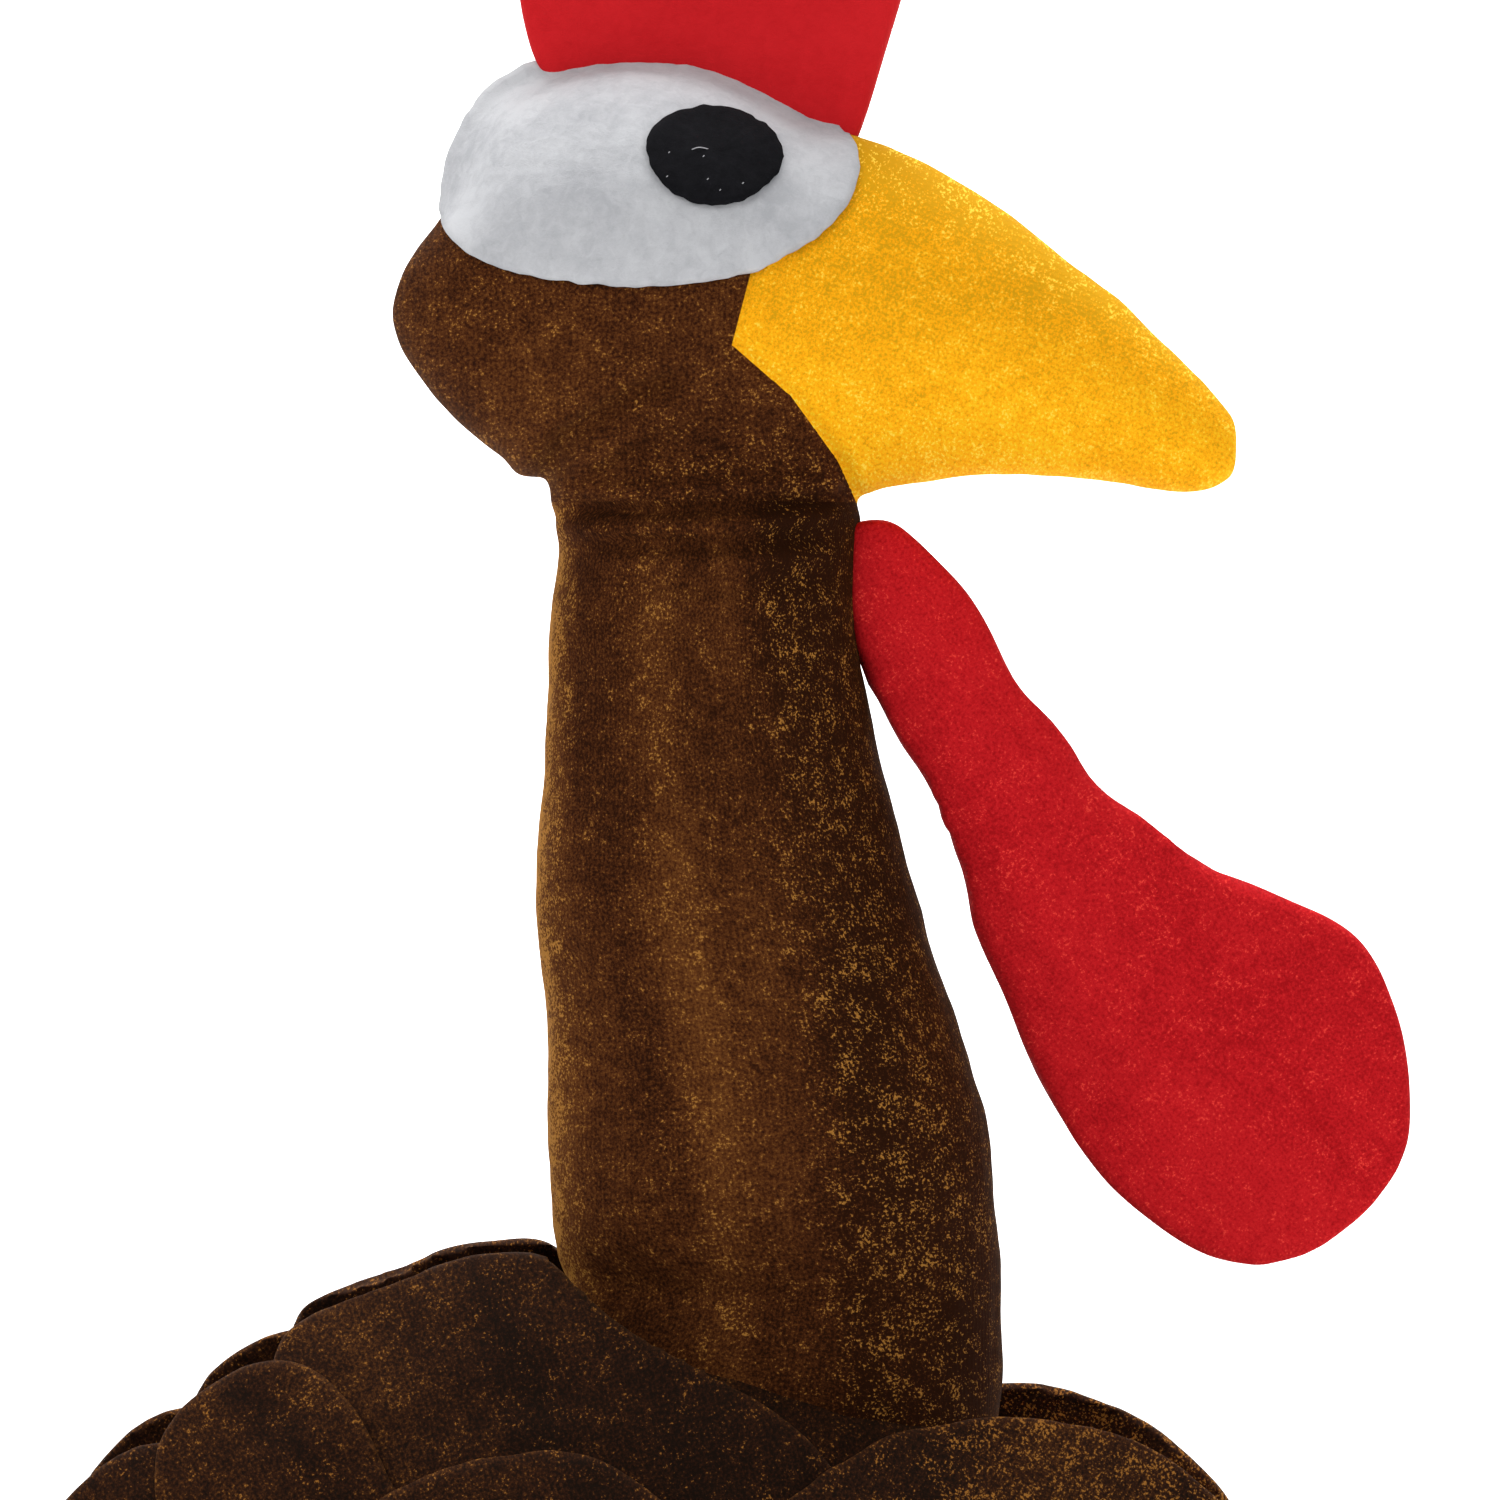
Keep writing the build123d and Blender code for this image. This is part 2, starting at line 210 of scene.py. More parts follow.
def crease(obj, path, width, depth, ridge=0.0):
    """Presses a furrow into the skin along a side-view line, on both sides of the bird."""
    co = points(obj)
    gap, along = from_path(co, path)
    fade = np.clip(np.minimum(along, 1 - along) * 6, 0, 1)
    profile = -depth * np.exp(-(gap / width) ** 2)
    profile += ridge * np.exp(-((gap - 2.2 * width) / width) ** 2)
    set_points(obj, co + normals(obj) * (profile * fade)[:, None])


def weave(obj, across, along, painted_glint=0.3, painted_light=0.0):
    """Stores where each point lies on the cloth, for the material's ribs, and two amounts of
    painted light: how much painted glint the pile shows there, and how far painted shade or
    highlight shifts its tone, about 0."""
    count = len(obj.data.vertices)
    place = np.zeros((count, 3), np.float32)
    place[:, 0], place[:, 1] = across, along
    place[:, 2] = points(obj)[:, 1] * 0.2
    spot = obj.data.attributes.new("weave", "FLOAT_VECTOR", "POINT")
    spot.data.foreach_set("vector", place.ravel())
    for name, level in (("painted_glint", painted_glint), ("painted_light", painted_light)):
        values = np.zeros(count, np.float32) + level
        store = obj.data.attributes.new(name, "FLOAT", "POINT")
        store.data.foreach_set("value", values.astype(np.float32))


def weave_flat(obj, degrees, painted_glint=0.3, painted_light=0.0, plan=False):
    """Weave whose ribs run at that angle in the side view, or in the plan view."""
    co = points(obj)
    u, v = co[:, 0], co[:, 1 if plan else 2]
    c, s = cos(radians(degrees)), sin(radians(degrees))
    weave(obj, -u * s + v * c, u * c + v * s, painted_glint, painted_light)


# ---- materials ----------------------------------------------------------------------
def srgb(r, g, b):
    """A colour given as 8-bit display values."""
    def linear(value):
        value /= 255
        return value / 12.92 if value <= 0.04045 else ((value + 0.055) / 1.055) ** 2.4
    return (linear(r), linear(g), linear(b), 1)


class Material:
    """A node material that is built up one node at a time."""

    def __init__(self, name):
        self.material = bpy.data.materials.new(name)
        self.material.use_nodes = True
        self.tree = self.material.node_tree
        self.shader = self.tree.nodes["Principled BSDF"]

    def link(self, value, socket):
        if isinstance(value, bpy.types.NodeSocket):
            self.tree.links.new(value, socket)
        else:
            socket.default_value = value

    def add(self, kind, **settings):
        node = self.tree.nodes.new(kind)
        for key, value in settings.items():
            setattr(node, key, value)
        return node

    def attribute(self, name, output="Vector"):
        return self.add("ShaderNodeAttribute", attribute_name=name).outputs[output]

    def object_place(self):
        return self.add("ShaderNodeTexCoord").outputs["Object"]

    def noise(self, place, scale, detail=2.0, rough=0.5, distortion=0.0):
        node = self.add("ShaderNodeTexNoise")
        self.link(place, node.inputs["Vector"])
        node.inputs["Scale"].default_value = scale
        node.inputs["Detail"].default_value = detail
        node.inputs["Roughness"].default_value = rough
        node.inputs["Distortion"].default_value = distortion
        return node.outputs["Fac"]

    def stretched(self, place, by):
        node = self.add("ShaderNodeVectorMath", operation="MULTIPLY")
        self.link(place, node.inputs[0])
        node.inputs[1].default_value = by
        return node.outputs[0]

    def math(self, operation, a, b=0.0, c=0.0):
        node = self.add("ShaderNodeMath", operation=operation)
        for socket, value in zip(node.inputs, (a, b, c)):
            self.link(value, socket)
        return node.outputs[0]

    def ramp(self, value, stops):
        node = self.add("ShaderNodeValToRGB")
        self.link(value, node.inputs["Fac"])
        ends = node.color_ramp.elements
        while len(ends) < len(stops):
            ends.new(0.5)
        for element, (place, colour) in zip(ends, stops):
            element.position = place
            element.color = colour
        return node.outputs["Color"]

    def mix(self, share, a, b, kind="MIX"):
        node = self.add("ShaderNodeMix", data_type="RGBA", blend_type=kind)
        self.link(share, node.inputs["Factor"])
        self.link(a, node.inputs[6])
        self.link(b, node.inputs[7])
        return node.outputs[2]

    def bump(self, height, distance, strength=1.0, below=None):
        node = self.add("ShaderNodeBump")
        node.inputs["Strength"].default_value = strength
        node.inputs["Distance"].default_value = distance
        self.link(height, node.inputs["Height"])
        if below is not None:
            self.link(below, node.inputs["Normal"])
        self.link(node.outputs[0], self.shader.inputs["Normal"])
        return node.outputs[0]

    def set(self, **values):
        for key, value in values.items():
            self.link(value, self.shader.inputs[key.replace("_", " ")])
        return self.material


def velour(name, shadow, body, lit, glint_colour, sheen):
    """Short-pile velour: fine ribs, brushed patches, painted glints where the pile catches light,
    and a stored tone shift for painted shade and highlights.
    """
    m = Material(name)
    place = m.attribute("weave")
    # per-point amounts of painted glint and of painted shade or highlight
    painted_glint = m.attribute("painted_glint", "Fac")
    painted_light = m.attribute("painted_light", "Fac")
    grain = m.noise(place, 2000, 2, 0.7)
    cluster = m.noise(place, 300, 3, 0.6)
    patch = m.noise(m.stretched(place, (1, 0.4, 1)), 36, 3, 0.55, 0.6)
    wave = m.add("ShaderNodeTexWave", wave_type="BANDS", bands_direction="X")
    m.link(place, wave.inputs["Vector"])
    wave.inputs["Scale"].default_value = 2 * pi / (20 * WALE)
    wave.inputs["Distortion"].default_value = 1.2
    wave.inputs["Detail Scale"].default_value = 2
    ribs = wave.outputs["Fac"]

    tone = m.math("MULTIPLY_ADD", grain, 0.85, -0.27)
    tone = m.math("MULTIPLY_ADD", cluster, 0.30, tone)
    tone = m.math("MULTIPLY_ADD", patch, 0.35, tone)
    tone = m.math("MULTIPLY_ADD", ribs, 0.04, tone)
    # painted shade and highlights: the stored tone shift darkens or lightens the colour
    tone = m.math("MULTIPLY_ADD", painted_light, 0.12, tone)
    colour = m.ramp(tone, [(0.34, shadow), (0.50, body), (0.68, lit)])
    # painted glints: bright specks mixed into the colour where the pile would catch the light
    spark = m.math("MULTIPLY_ADD", cluster, 0.5, m.math("MULTIPLY_ADD", painted_glint, 0.10, grain))
    spark = m.ramp(spark, [(0.93, (0, 0, 0, 1)), (1.08, (1, 1, 1, 1))])
    colour = m.mix(spark, colour, glint_colour)
    height = m.math("MULTIPLY_ADD", ribs, 0.3, grain)
    m.bump(height, 0.25 * MM, 0.5)
    return m.set(Base_Color=colour, Roughness=0.9, Specular_IOR_Level=0.03,
                 Sheen_Weight=0.04, Sheen_Roughness=0.4, Sheen_Tint=sheen)


def felt(name, pale, dark, mottle=0.5, fuzz=0.03):
    """Needle felt: matted short fibres with faint cloudy patches. fuzz is its pale edge glow."""
    m = Material(name)
    place = m.object_place()
    fibres = m.noise(m.stretched(place, (1, 1, 1.6)), 1500, 4, 0.7, 1.5)
    mat = m.noise(place, 420, 3, 0.6, 0.8)
    cloud = m.noise(place, 60, 3, 0.6)
    tone = m.math("MULTIPLY_ADD", fibres, 0.35, 0.0)
    tone = m.math("MULTIPLY_ADD", mat, 0.45, tone)
    tone = m.math("MULTIPLY_ADD", cloud, mottle, tone)
    tone = m.math("SUBTRACT", tone, mottle / 2 - 0.1)
    colour = m.ramp(tone, [(0.30, dark), (0.62, pale)])
    m.bump(m.math("ADD", fibres, mat), 0.25 * MM, 0.45)
    return m.set(Base_Color=colour, Roughness=0.95, Specular_IOR_Level=0.05,
                 Sheen_Weight=fuzz, Sheen_Roughness=0.6)


def plastic(name, colour, roughness=0.45):
    m = Material(name)
    mark = m.noise(m.object_place(), 700, 3, 0.6)
    tint = m.mix(mark, colour, tuple(c * 1.35 for c in colour[:3]) + (1,))
    m.bump(mark, 0.05 * MM, 0.25)
    return m.set(Base_Color=tint, Roughness=roughness)


def steel(name):
    m = Material(name)
    streak = m.noise(m.stretched(m.object_place(), (1, 1, 0.05)), 900, 3)
    colour = m.ramp(streak, [(0.3, srgb(118, 118, 120)), (0.7, srgb(168, 168, 170))])
    m.bump(streak, 0.03 * MM, 0.3)
    return m.set(Base_Color=colour, Metallic=1.0, Roughness=0.38)


def hardboard(name):
    m = Material(name)
    fibres = m.noise(m.stretched(m.object_place(), (1, 1, 6)), 420, 5, 0.7, 1.0)
    colour = m.ramp(fibres, [(0.3, srgb(96, 66, 40)), (0.7, srgb(140, 102, 66))])
    m.bump(fibres, 0.15 * MM, 0.5)
    return m.set(Base_Color=colour, Roughness=0.75)


BROWN = velour("brown_velour", srgb(38, 17, 6), srgb(70, 36, 15), srgb(104, 62, 27),
               srgb(160, 110, 48), srgb(200, 140, 60))
# a darker copy of the brown velour for the wings, body and wing linings: partly the way the pile
# lies there, partly painted shade
SHADED_PILE_BROWN = velour("dark_brown_velour", srgb(22, 13, 8), srgb(42, 22, 12), srgb(78, 46, 20),
                    srgb(140, 92, 38), srgb(200, 140, 60))
ORANGE = velour("orange_velour", srgb(206, 150, 18), srgb(246, 165, 16), srgb(244, 194, 32),
                srgb(250, 210, 70), srgb(255, 225, 120))
RED = velour("red_velour", srgb(156, 16, 22), srgb(182, 24, 30), srgb(196, 32, 36),
             srgb(222, 58, 50), srgb(255, 90, 80))
RED_FELT = felt("red_felt", srgb(200, 30, 36), srgb(188, 24, 30))
WHITE_FELT = felt("white_felt", srgb(194, 195, 198), srgb(170, 171, 175), 0.9)
BLACK_FELT = felt("black_felt", srgb(24, 24, 27), srgb(12, 12, 14), 0.3, 0.0)
BASE_CLOTH = felt("base_cloth", srgb(60, 38, 24), srgb(36, 22, 13))
BAG_CLOTH = felt("bag_cloth", srgb(205, 196, 172), srgb(178, 168, 142))
NYLON = plastic("nylon_thread", srgb(150, 150, 154), 0.25)
SOCKET = plastic("socket_plastic", srgb(26, 26, 28))


def dress(obj, material):
    obj.data.materials.clear()
    obj.data.materials.append(material)
    return obj


# ---- neck, head and bill ------------------------------------------------------------
BEAK_SEAM = [(26.0, 350), (22.0, 338), (19.6, 322), (15.2, 305.2), (24.8, 297.0),
             (32.6, 286.5), (36.2, 279.0), (37.5, 274)]
CREASE_HEIGHT = JOINTS["head_nod"]["pos_m"][2] + 0.5 * MM
NECK_FOOT_HEIGHT = JOINTS["neck_lean"]["pos_m"][2] - 6 * MM


def in_mm(path):
    return [(x * MM, z * MM) for x, z in path]


def cut_along(obj, path, reach=4 * MM):
    """Adds edges to the skin where a side-view line crosses it, so that it parts cleanly."""
    cells = bmesh.new()
    cells.from_mesh(obj.data)
    for start, end in zip(path, path[1:]):
        low = [min(a, b) - reach for a, b in zip(start, end)]
        high = [max(a, b) + reach for a, b in zip(start, end)]
        near = [f for f in cells.faces
                if all(low[k] < f.verts[0].co[2 * k] < high[k] for k in (0, 1))]
        geometry = {*near, *(e for f in near for e in f.edges), *(v for f in near for v in f.verts)}
        bmesh.ops.bisect_plane(cells, geom=list(geometry), dist=1e-6,
                               plane_co=(start[0], 0, start[1]),
                               plane_no=(end[1] - start[1], 0, start[0] - end[0]))
    cells.to_mesh(obj.data)
    cells.free()


def take_faces(obj, name, keep):
    """A new object with the faces whose middle passes the test keep(x, y, z)."""
    cells = bmesh.new()
    cells.from_mesh(obj.data)
    away = [face for face in cells.faces if not keep(face.calc_center_median())]
    bmesh.ops.delete(cells, geom=away, context="FACES")
    mesh = bpy.data.meshes.new(name)
    cells.to_mesh(mesh)
    cells.free()
    return add_object(name, mesh)


def neck_middle(co):
    """The neck's middle in X at the height of each point, from the CAD neck."""
    cad = points(NODES["neck_cover_left"])
    heights = np.linspace(cad[:, 2].min() + 30 * MM, cad[:, 2].max() - 22 * MM, 24)
    middles = []
    for height in heights:
        ring = cad[np.abs(cad[:, 2] - height) < 4 * MM]
        middles.append((ring[:, 0].min() + ring[:, 0].max()) / 2)
    return np.interp(co[:, 2], heights, middles)


def make_neck_and_head():
    """One stuffed skin over neck, head and bill, cut into pieces at its seams."""
    neck_nodes = ("neck_cover_left", "neck_cover_right", "neck_stuffing")
    head_nodes = ("head_cover_left", "head_cover_right", "head_stuffing")
    beak_nodes = ("beak_cover_left", "beak_cover_right")
    whole = copy_nodes("whole", *neck_nodes, *head_nodes, *beak_nodes)
    whole = subdivide(relax(remesh(whole), 6))
    sculpt_head(whole)
    crease(whole, in_mm(BEAK_SEAM[1:-1]), 1.3 * MM, 0.9 * MM, 0.35 * MM)
    roughen(whole, 13 * MM, 0.5 * MM, 1)
    roughen(whole, 4 * MM, 0.12 * MM, 2)

    seam = in_mm(BEAK_SEAM)
    cut_along(whole, seam)
    cut_along(whole, [(-60 * MM, CREASE_HEIGHT), (seam[-2][0], CREASE_HEIGHT)])
    heights = [z for _, z in seam][::-1]
    places = [x for x, _ in seam][::-1]

    def is_beak(p):
        front = p.x > np.interp(p.z, heights, places)
        return bool(front and p.z > CREASE_HEIGHT - 2 * MM)

    def is_head(p):
        return not is_beak(p) and p.z > CREASE_HEIGHT

    def is_neck(p):
        return not is_beak(p) and NECK_FOOT_HEIGHT < p.z <= CREASE_HEIGHT

    head = take_faces(whole, "head_skin", is_head)
    beak = take_faces(whole, "beak_skin", is_beak)
    neck = take_faces(whole, "neck_skin", is_neck)

    brush_neck(neck)
    brush_head(head)
    # painted light on the bill: its edges, which turn away from the side view, get painted sheen
    # (lighter, with more glints), and painted shade darkens its top
    edge = 1 - np.abs(normals(beak)[:, 1])
    top = np.clip(normals(beak)[:, 2], 0, 1)
    weave_flat(beak, -22, 0.3 + edge, 0.8 * edge - 3.6 * top ** 2)
    for obj, material, slot in ((neck, BROWN, "brown_velour"), (head, BROWN, "brown_velour"),
                                (beak, ORANGE, "orange_velour")):
        dress(obj, material)
        obj.data.shade_smooth()
    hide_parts(*neck_nodes)
    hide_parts(*head_nodes)
    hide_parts(*beak_nodes)
    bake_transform(neck)
    for obj in (head, beak):
        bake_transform(obj)
    return whole


def brush_neck(neck):
    """The neck's painted light: painted shade and glints in front, painted sheen along the back, a
    painted highlight stripe behind its middle, and painted shade at its foot and under the head.
    """
    co = points(neck)
    across = co[:, 0] - neck_middle(co)
    turn = np.abs(np.arctan2(co[:, 1], across))
    front = np.clip((across - 3 * MM) / (9 * MM), 0, 1)
    edge = np.clip(1 - turn / 0.75, 0, 1)
    back = np.clip((turn - 2.55) / 0.55, 0, 1)
    stripe = np.exp(-((across + 9 * MM) / (5 * MM)) ** 2)
    foot = np.clip((175 * MM - co[:, 2]) / (30 * MM), 0, 1)
    top = np.clip((co[:, 2] - 262 * MM) / (14 * MM), 0, 1)
    # painted glints and painted shade and light, from where each point faces and sits on the neck
    painted_glint = 0.05 + 0.8 * front - 0.5 * edge + 3.2 * back + 0.6 * stripe - 0.35 * top
    painted_light = -0.1 - 0.9 * front + 2.6 * back + 0.9 * stripe - 0.3 * foot - 0.7 * top * (1 - back)
    weave(neck, turn * 31 * MM, co[:, 2], painted_glint, painted_light)


def brush_head(head):
    co = points(head)
    # painted light on the head: its lower part, most of all in front by the bill, gets painted
    # shade and more glints, and its outline gets painted sheen and glints
    low = np.clip((300 * MM - co[:, 2]) / (18 * MM), 0, 1)
    rim = np.clip(1 - np.abs(normals(head)[:, 1]) * 2.2, 0, 1)
    front = np.clip((co[:, 0] - 5 * MM) / (24 * MM), 0, 1) * low
    painted_glint = 0.15 + 0.25 * low + 0.4 * rim + 0.3 * front
    weave(head, co[:, 0], co[:, 2], painted_glint, 0.1 - 0.55 * front - 0.25 * low + 0.8 * rim * low)


def sculpt_head(whole):
    """The head's uneven stuffing, then its folds and those of the neck."""
    push(whole, (-38, 328, 9, 5.6, 1.0), (-34, 339, 8, 3.4, -0.8), (-33, 293, 10, 0.2, 0.4),
         (-39, 309, 8, -1.0, 0), (-26, 286, 8, 1.0, 0.6),
         (72, 321, 16, -0.4, -0.8), (90, 306, 12, -0.4, -0.4), (50, 336, 12, 0, -0.6),
         (60, 286, 16, 0, -0.6), (84, 286, 14, 0, -0.8),
         (-14, 264, 14, -0.8, 0), (-15, 240, 16, -0.8, 0), (-16, 212, 16, -1.2, 0),
         (-14, 185, 14, -1.0, 0), (-13, 165, 12, 0.2, 0), (-8, 150, 12, -4.0, 0))
    crease(whole, in_mm([(-18, 281), (-11, 290), (0, 297), (10, 300)]), 2.0 * MM, 2.4 * MM,
           1.4 * MM)
    crease(whole, in_mm([(-14, 279.5), (0, 278), (18, 279), (38, 281)]), 1.5 * MM, 2.0 * MM,
           1.0 * MM)
    crease(whole, in_mm([(-8, 273.5), (12, 272.5), (34, 275)]), 1.5 * MM, 1.4 * MM, 0.7 * MM)
    crease(whole, in_mm([(2, 267), (18, 266), (34, 268)]), 1.6 * MM, 0.8 * MM, 0.4 * MM)


# ---- felt pieces laid on the head -------------------------------------------------------
EYE_OUTLINE = [
    (-17.7, 352.8), (-6.6, 354.0), (3.3, 354.4), (9.9, 352.4), (23.1, 348.2), (33.0, 344.5),
    (34.3, 341.5), (35.9, 337.4), (35.5, 331.7), (32.2, 325.9), (24.8, 320.1), (16.5, 316.3),
    (1.7, 314.5), (-13.2, 315.5), (-23.1, 318.1), (-29.7, 321.8), (-32.7, 326.4),
    (-33.0, 330.0), (-31.4, 338.2), (-26.4, 347.3), (-20.6, 351.5),
]
EYE_MIDDLE = (2, 334)
PUPIL_MIDDLE, PUPIL_RADII = (12.4, 336.5), (11.0, 8.5)


def smooth_loop(path, count):
    """That many points on a smooth closed curve through the path's points."""
    path = np.array(path, float)
    spans = np.linalg.norm(np.roll(path, -1, 0) - path, axis=1)
    stops = np.concatenate(([0], np.cumsum(spans)))
    n = len(path)
    result = []
    for s in np.linspace(0, stops[-1], count, endpoint=False):
        i = min(int(np.searchsorted(stops, s, side="right")) - 1, n - 1)
        t = (s - stops[i]) / spans[i]
        a, b, c, d = path[i - 1], path[i], path[(i + 1) % n], path[(i + 2) % n]
        result.append(0.5 * (2 * b + (c - a) * t + (2 * a - 5 * b + 4 * c - d) * t * t
                             + (3 * b - a - 3 * c + d) * t ** 3))
    return np.array(result)


def lay_felt(name, outline, middle, side, under, lift, thickness, rings=26, wobble=0.0):
    """A cut felt shape laid on the skin under it, on one side of the head."""
    count = len(outline)
    cast = BVHTree.FromObject(under, bpy.context.evaluated_depsgraph_get())
    depth = np.full((rings + 1, count), np.nan)
    place = np.zeros((rings + 1, count, 2))
    for r in range(rings + 1):
        for i in range(count):
            edge = Vector(outline[i]) * MM
            if wobble:
                edge += Vector((noise.noise(Vector((i * 0.35, side, 0))),
                                noise.noise(Vector((0, i * 0.35, side))))) * wobble
            spot = Vector(middle) * MM + (edge - Vector(middle) * MM) * (r / rings)
            place[r, i] = spot
            start = Vector((spot.x, side * 0.2, spot.y))
            hit = cast.ray_cast(start, Vector((0, -side, 0)))[0]
            if hit is not None and hit.y * side > 1.5 * MM:
                depth[r, i] = hit.y * side
    depth = np.where(np.isnan(depth), 1.2 * MM, depth)
    for _ in range(5):
        inner = depth.copy()
        inner[1:-1] = (depth[:-2] + depth[2:] + np.roll(depth, 1, 1)[1:-1]
                       + np.roll(depth, -1, 1)[1:-1]) / 4
        depth = np.maximum(inner, depth - 0.2 * MM)
    vertices, faces = [], []
    for layer, height in enumerate((lift, lift + thickness)):
        for r in range(rings + 1):
            for i in range(count):
                x, z = place[r, i]
                rim = 1 - 0.35 * (r == rings) if layer else 1
                y = side * (depth[r, i] + lift + (height - lift) * rim)
                vertices.append((x, y, z))
    size = (rings + 1) * count

    def at(layer, r, i):
        return layer * size + r * count + i % count

    for r in range(rings):
        for i in range(count):
            top = (at(1, r, i), at(1, r, i + 1), at(1, r + 1, i + 1), at(1, r + 1, i))
            low = (at(0, r, i), at(0, r + 1, i), at(0, r + 1, i + 1), at(0, r, i + 1))
            faces += [top, low]
    for i in range(count):
        faces.append((at(0, rings, i), at(1, rings, i), at(1, rings, i + 1),
                      at(0, rings, i + 1)))
    obj = from_lists(name, vertices, faces)
    cells = bmesh.new()
    cells.from_mesh(obj.data)
    bmesh.ops.remove_doubles(cells, verts=cells.verts, dist=1e-6)
    bmesh.ops.recalc_face_normals(cells, faces=cells.faces)
    cells.to_mesh(obj.data)
    cells.free()
    roughen(obj, 9 * MM, 0.25 * MM, 3)
    obj.data.shade_smooth()
    return obj


def make_eyes(head):
    outline = smooth_loop(EYE_OUTLINE, 180)
    angles = np.linspace(0, 2 * pi, 96, endpoint=False)
    for name, side in SIDES:
        patch = lay_felt("eye_felt_" + name, outline, EYE_MIDDLE, side, head, 0.15 * MM,
                         FELT, wobble=0.35 * MM)
        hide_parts("eye_patch_" + name)
        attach(dress(patch, WHITE_FELT), "head")
        ring = np.stack([
            PUPIL_MIDDLE[0] + PUPIL_RADII[0] * np.cos(angles) + 0.35 * np.cos(3 * angles + 1),
            PUPIL_MIDDLE[1] + PUPIL_RADII[1] * np.sin(angles) + 0.3 * np.sin(2 * angles + 2),
        ], 1)
        pupil = lay_felt("pupil_felt_" + name, ring, PUPIL_MIDDLE, side, patch, 0.05 * MM,
                         FELT, rings=14, wobble=0.4 * MM)
        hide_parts("pupil_" + name)
        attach(dress(pupil, BLACK_FELT), "head")


# ---- stuffed pads -------------------------------------------------------------------------
WING_PARTS = ("shoulder_feather", "upper_feather", "middle_feather", "rear_feather",
              "lower_feather", "front_covert", "top_covert", "rear_covert")
TAIL_FEATHERS = 7
RIB_ANGLE = {"shoulder_feather": 62, "upper_feather": 107, "middle_feather": 123,
             "rear_feather": 141, "lower_feather": 157, "front_covert": 66,
             "top_covert": 104, "rear_covert": 142}


def make_pads():
    """All the separately stuffed pieces, padded in one cloth simulation."""
    wattle = stuffed("wattle_skin", "wattle_cover_left", "wattle_cover_right",
                     "wattle_stuffing", relaxing=7)
    comb = stuffed("comb_skin", "comb_cover_left", "comb_cover_right", "comb_stuffing",
                   voxel=1.3 * MM, relaxing=6)
    pads = [(wattle, 5, 3 * MM), (comb, 3, 1.2 * MM)]
    wings, tail, feet = [], [], []
    for name, _ in SIDES:
        for part in WING_PARTS:
            node = f"{name}_wing_{part}"
            lobe = stuffed(node + "_skin", node)
            wings.append((lobe, name + "_wing", RIB_ANGLE[part]))
            pads.append((lobe, 5, 2.2 * MM))
        foot = stuffed(f"{name}_foot_skin", f"{name}_foot_top", f"{name}_foot_sole",
                       f"{name}_foot_stuffing", relaxing=5)
        feet.append((foot, name + "_foot"))
        pads.append((foot, 4, 1.5 * MM))
    for number in range(1, TAIL_FEATHERS + 1):
        node = f"tail_feather_{number}"
        feather = stuffed(node + "_skin", node)
        tail.append(feather)
        pads.append((feather, 5, 2.0 * MM))
    puff(pads)
    for number, (obj, _, _) in enumerate(pads):
        subdivide(obj)
        roughen(obj, 11 * MM, 0.5 * MM, number)
    shape_wattle(wattle)
    shape_comb(comb)
    for lobe, body, angle in wings:
        shape_wing_lobe(lobe, body, angle)
    for feather in tail:
        weave_flat(feather, 0, plan=True)
        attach(dress(feather, BROWN), "tail")
    for foot, body in feet:
        shape_foot(foot, body)


def shape_wattle(wattle):
    """Tucks the wattle's root under the chin, then evens its outline after the padding."""
    co = points(wattle)
    pull = np.clip((56 * MM - co[:, 0]) / (14 * MM), 0, 1) ** 2
    pull *= np.clip((co[:, 2] - 236 * MM) / (14 * MM), 0, 1)
    co[:, 0] -= pull * 6.5 * MM
    set_points(wattle, co)
    push(wattle, (46, 240, 11, -3.8, 0.4), (43, 276, 8, 0.0, 2.0), (95, 221, 14, 0, -0.8),
         (124, 176, 14, 1.6, -0.4), (51, 227, 8, -2.2, 0), (102, 157, 16, 0.6, -1.0),
         (56, 212, 8, -1.8, 0), (57, 263, 9, 0.2, 0.1), (69, 243, 9, 2.1, 1.7),
         (84, 227, 9, 1.0, 1.3))
    crease(wattle, in_mm([(104, 191), (110, 180), (118, 168)]), 0.8 * MM, 0.9 * MM, 0.2 * MM)
    weave_flat(wattle, -50, 0.35, 0.1)
    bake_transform(dress(wattle, RED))


def shape_comb(comb):
    """Draws the comb's lower edge down over the head that it is sewn to."""
    co = points(comb)
    low = np.clip((368 * MM - co[:, 2]) / (14 * MM), 0, 1)
    co[:, 2] -= low ** 1.5 * 14 * MM
    set_points(comb, co)
    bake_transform(dress(comb, RED_FELT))


def shape_wing_lobe(lobe, body, angle):
    """Brushes a feather's pile: darker overall, partly painted shade, with painted sheen on the
    rim, a painted highlight with glints in front, and lighter towards the rear.
    """
    if "shoulder" in lobe.name:
        push(lobe, (58, 136, 20, 0, -2.4), (97, 113, 14, 2.0, 0))
    co = points(lobe)
    rear = np.clip((-22 * MM - co[:, 0]) / (24 * MM), 0, 1)
    rim = np.clip(1.2 - 1.6 * np.abs(normals(lobe)[:, 1]), 0, 1)
    front = np.clip((co[:, 0] - 34 * MM) / (20 * MM), 0, 1)
    # painted sheen on the rim and a painted highlight with glints in front
    weave_flat(lobe, angle, 0.1 + 0.5 * rim + 0.9 * front,
               -0.6 + 0.4 * rear + 0.9 * rim + 0.6 * front)
    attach(dress(lobe, SHADED_PILE_BROWN), body)


def shape_foot(foot, body):
    """Keeps the padded foot above the ground."""
    co = points(foot)
    co[:, 2] = np.maximum(co[:, 2], 0.3 * MM)
    set_points(foot, co)
    weave_flat(foot, 0, plan=True)
    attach(dress(foot, ORANGE), body)


